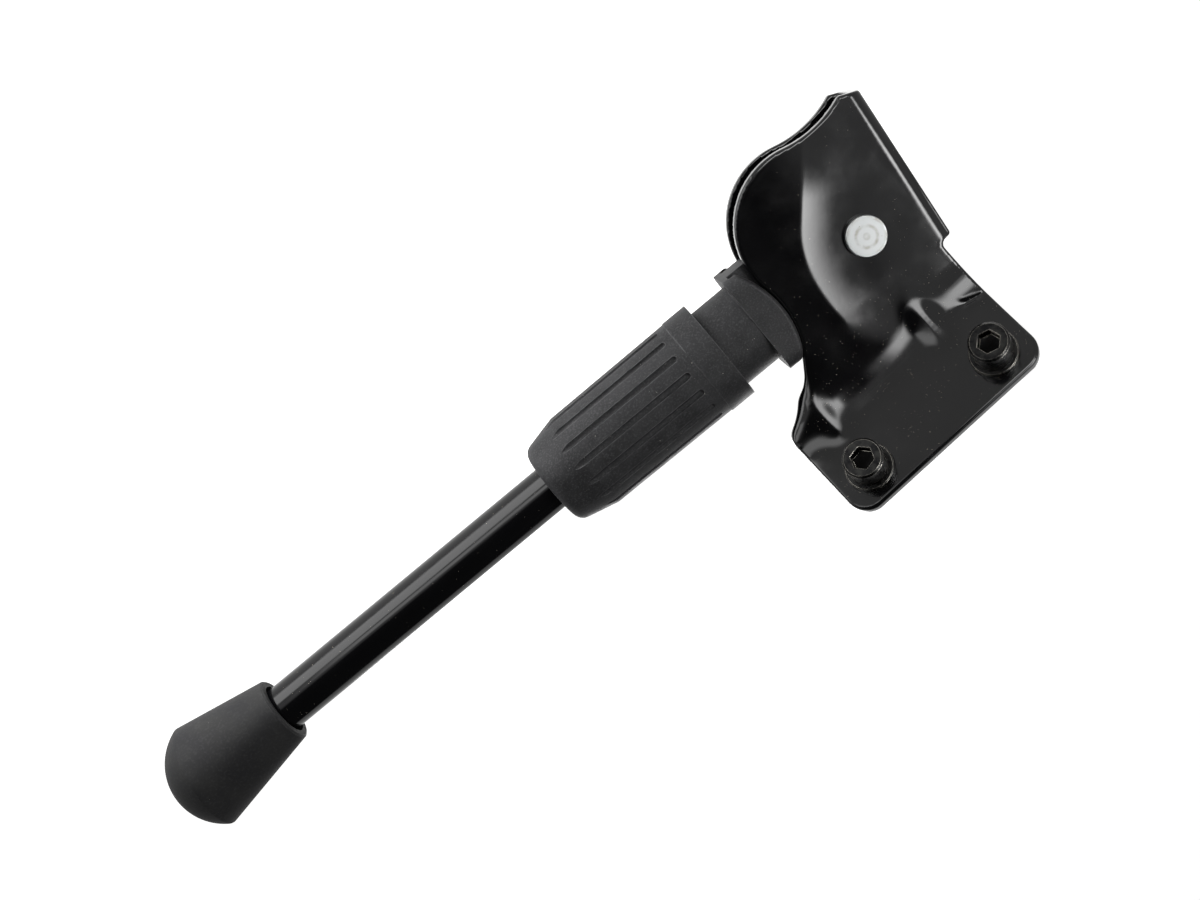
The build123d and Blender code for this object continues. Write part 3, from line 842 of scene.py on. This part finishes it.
def boltShell(plan, across, turn):
    step = 2 * math.pi / plan["around"]
    angles = [math.radians(turn) + k * step for k in range(plan["around"])]

    def point(depth, reach, angle):
        return Vector((across + reach * math.cos(angle), depth, -reach * math.sin(angle))) * mm

    def ring(depth, radius):
        return [point(depth, radius, angle) for angle in angles]

    def socketRing(depth, half):
        side = 2 * math.pi / plan["socketSides"]
        return [point(depth, half / math.cos((k * step) % side - side / 2), angle)
                for k, angle in enumerate(angles)]

    # a sixty degree thread with narrow flats on crest and root, cut down where the tip is chamfered
    def threadRing(depth):
        points = []
        for angle in angles:
            phase = (depth / plan["pitch"] + angle / (2 * math.pi)) % 1.0
            flank = min(max(abs(phase - 0.5) * plan["flankSlope"] - plan["rootFlat"], 0.0), 1.0)
            reach = plan["root"] + (plan["crest"] - plan["root"]) * flank
            reach = min(reach, plan["crest"] - max(0.0, depth - plan["tip"] + plan["tipEdge"]))
            points.append(point(depth, reach, angle))
        return points

    top, seat, edge = plan["headTop"], plan["headSeat"], plan["headEdge"]
    floor = top + plan["socketDepth"]
    rings = [
        ring(floor, plan["socketHalf"] - plan["socketRelief"]),
        socketRing(floor, plan["socketHalf"]),
        socketRing(top + plan["socketEdge"], plan["socketHalf"]),
        socketRing(top, plan["socketHalf"] + plan["socketEdge"]),
        ring(top, plan["headRadius"] - edge),
        ring(top + edge, plan["headRadius"]),
        ring(seat - plan["seatEdge"], plan["headRadius"]),
        ring(seat, plan["headRadius"] - plan["seatEdge"]),
        ring(seat, plan["shankRadius"]),
        ring(plan["threadFrom"] - plan["threadLead"], plan["shankRadius"]),
    ]
    rows = round((plan["tip"] - plan["threadFrom"]) / plan["pitch"] * plan["rowsPerTurn"])
    for row in range(rows + 1):
        rings.append(threadRing(plan["threadFrom"] + row * plan["pitch"] / plan["rowsPerTurn"]))
    socketPole = Vector((across, floor + plan["socketPoint"], 0)) * mm
    return loft(rings, socketPole, Vector((across, plan["tip"], 0)) * mm)


boltShells = [boltShell(boltPlan, *pair) for pair in zip(boltPlan["places"], boltPlan["turns"])]
addPiece("threaded_bolts", boltShells, blackOxide, "base", "mounting_bolts")
print("bolts cut")

# the spring inside the sleeve, in millimetres along the leg from the pivot
springPlan = {
    "start": 57.0,
    "end": 84.2,
    "seat": 85.2,
    "collarEnd": 56.0,
    "coilRadius": 8.7,
    "wireRadius": 0.9,
    "turns": 6.5,
    "stepsPerTurn": 26,
    "around": 12,
}


def springShell(plan):
    steps = round(plan["turns"] * plan["stepsPerTurn"])
    length = plan["end"] - plan["start"]
    rimAngles = [2 * math.pi * k / plan["around"] for k in range(plan["around"])]
    rings, middles = [], []
    for step in range(steps + 1):
        angle = 2 * math.pi * plan["turns"] * step / steps
        outward = Vector((0, math.cos(angle), math.sin(angle)))
        middle = Vector((plan["start"] + length * step / steps, 0, 0)) + outward * plan["coilRadius"]
        sideways = Vector((length / (2 * math.pi * plan["turns"] * plan["coilRadius"]),
                           -math.sin(angle), math.cos(angle))).normalized().cross(outward)
        rim = [outward * math.cos(a) + sideways * math.sin(a) for a in rimAngles]
        rings.append([legFrame @ ((middle + way * plan["wireRadius"]) * mm) for way in rim])
        middles.append(legFrame @ (middle * mm))
    return loft(rings, middles[0], middles[-1])


coil = addPiece("coil_spring", [springShell(springPlan)], springWire,
                "leg", "compression_spring")
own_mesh(coil)
print("spring wound")
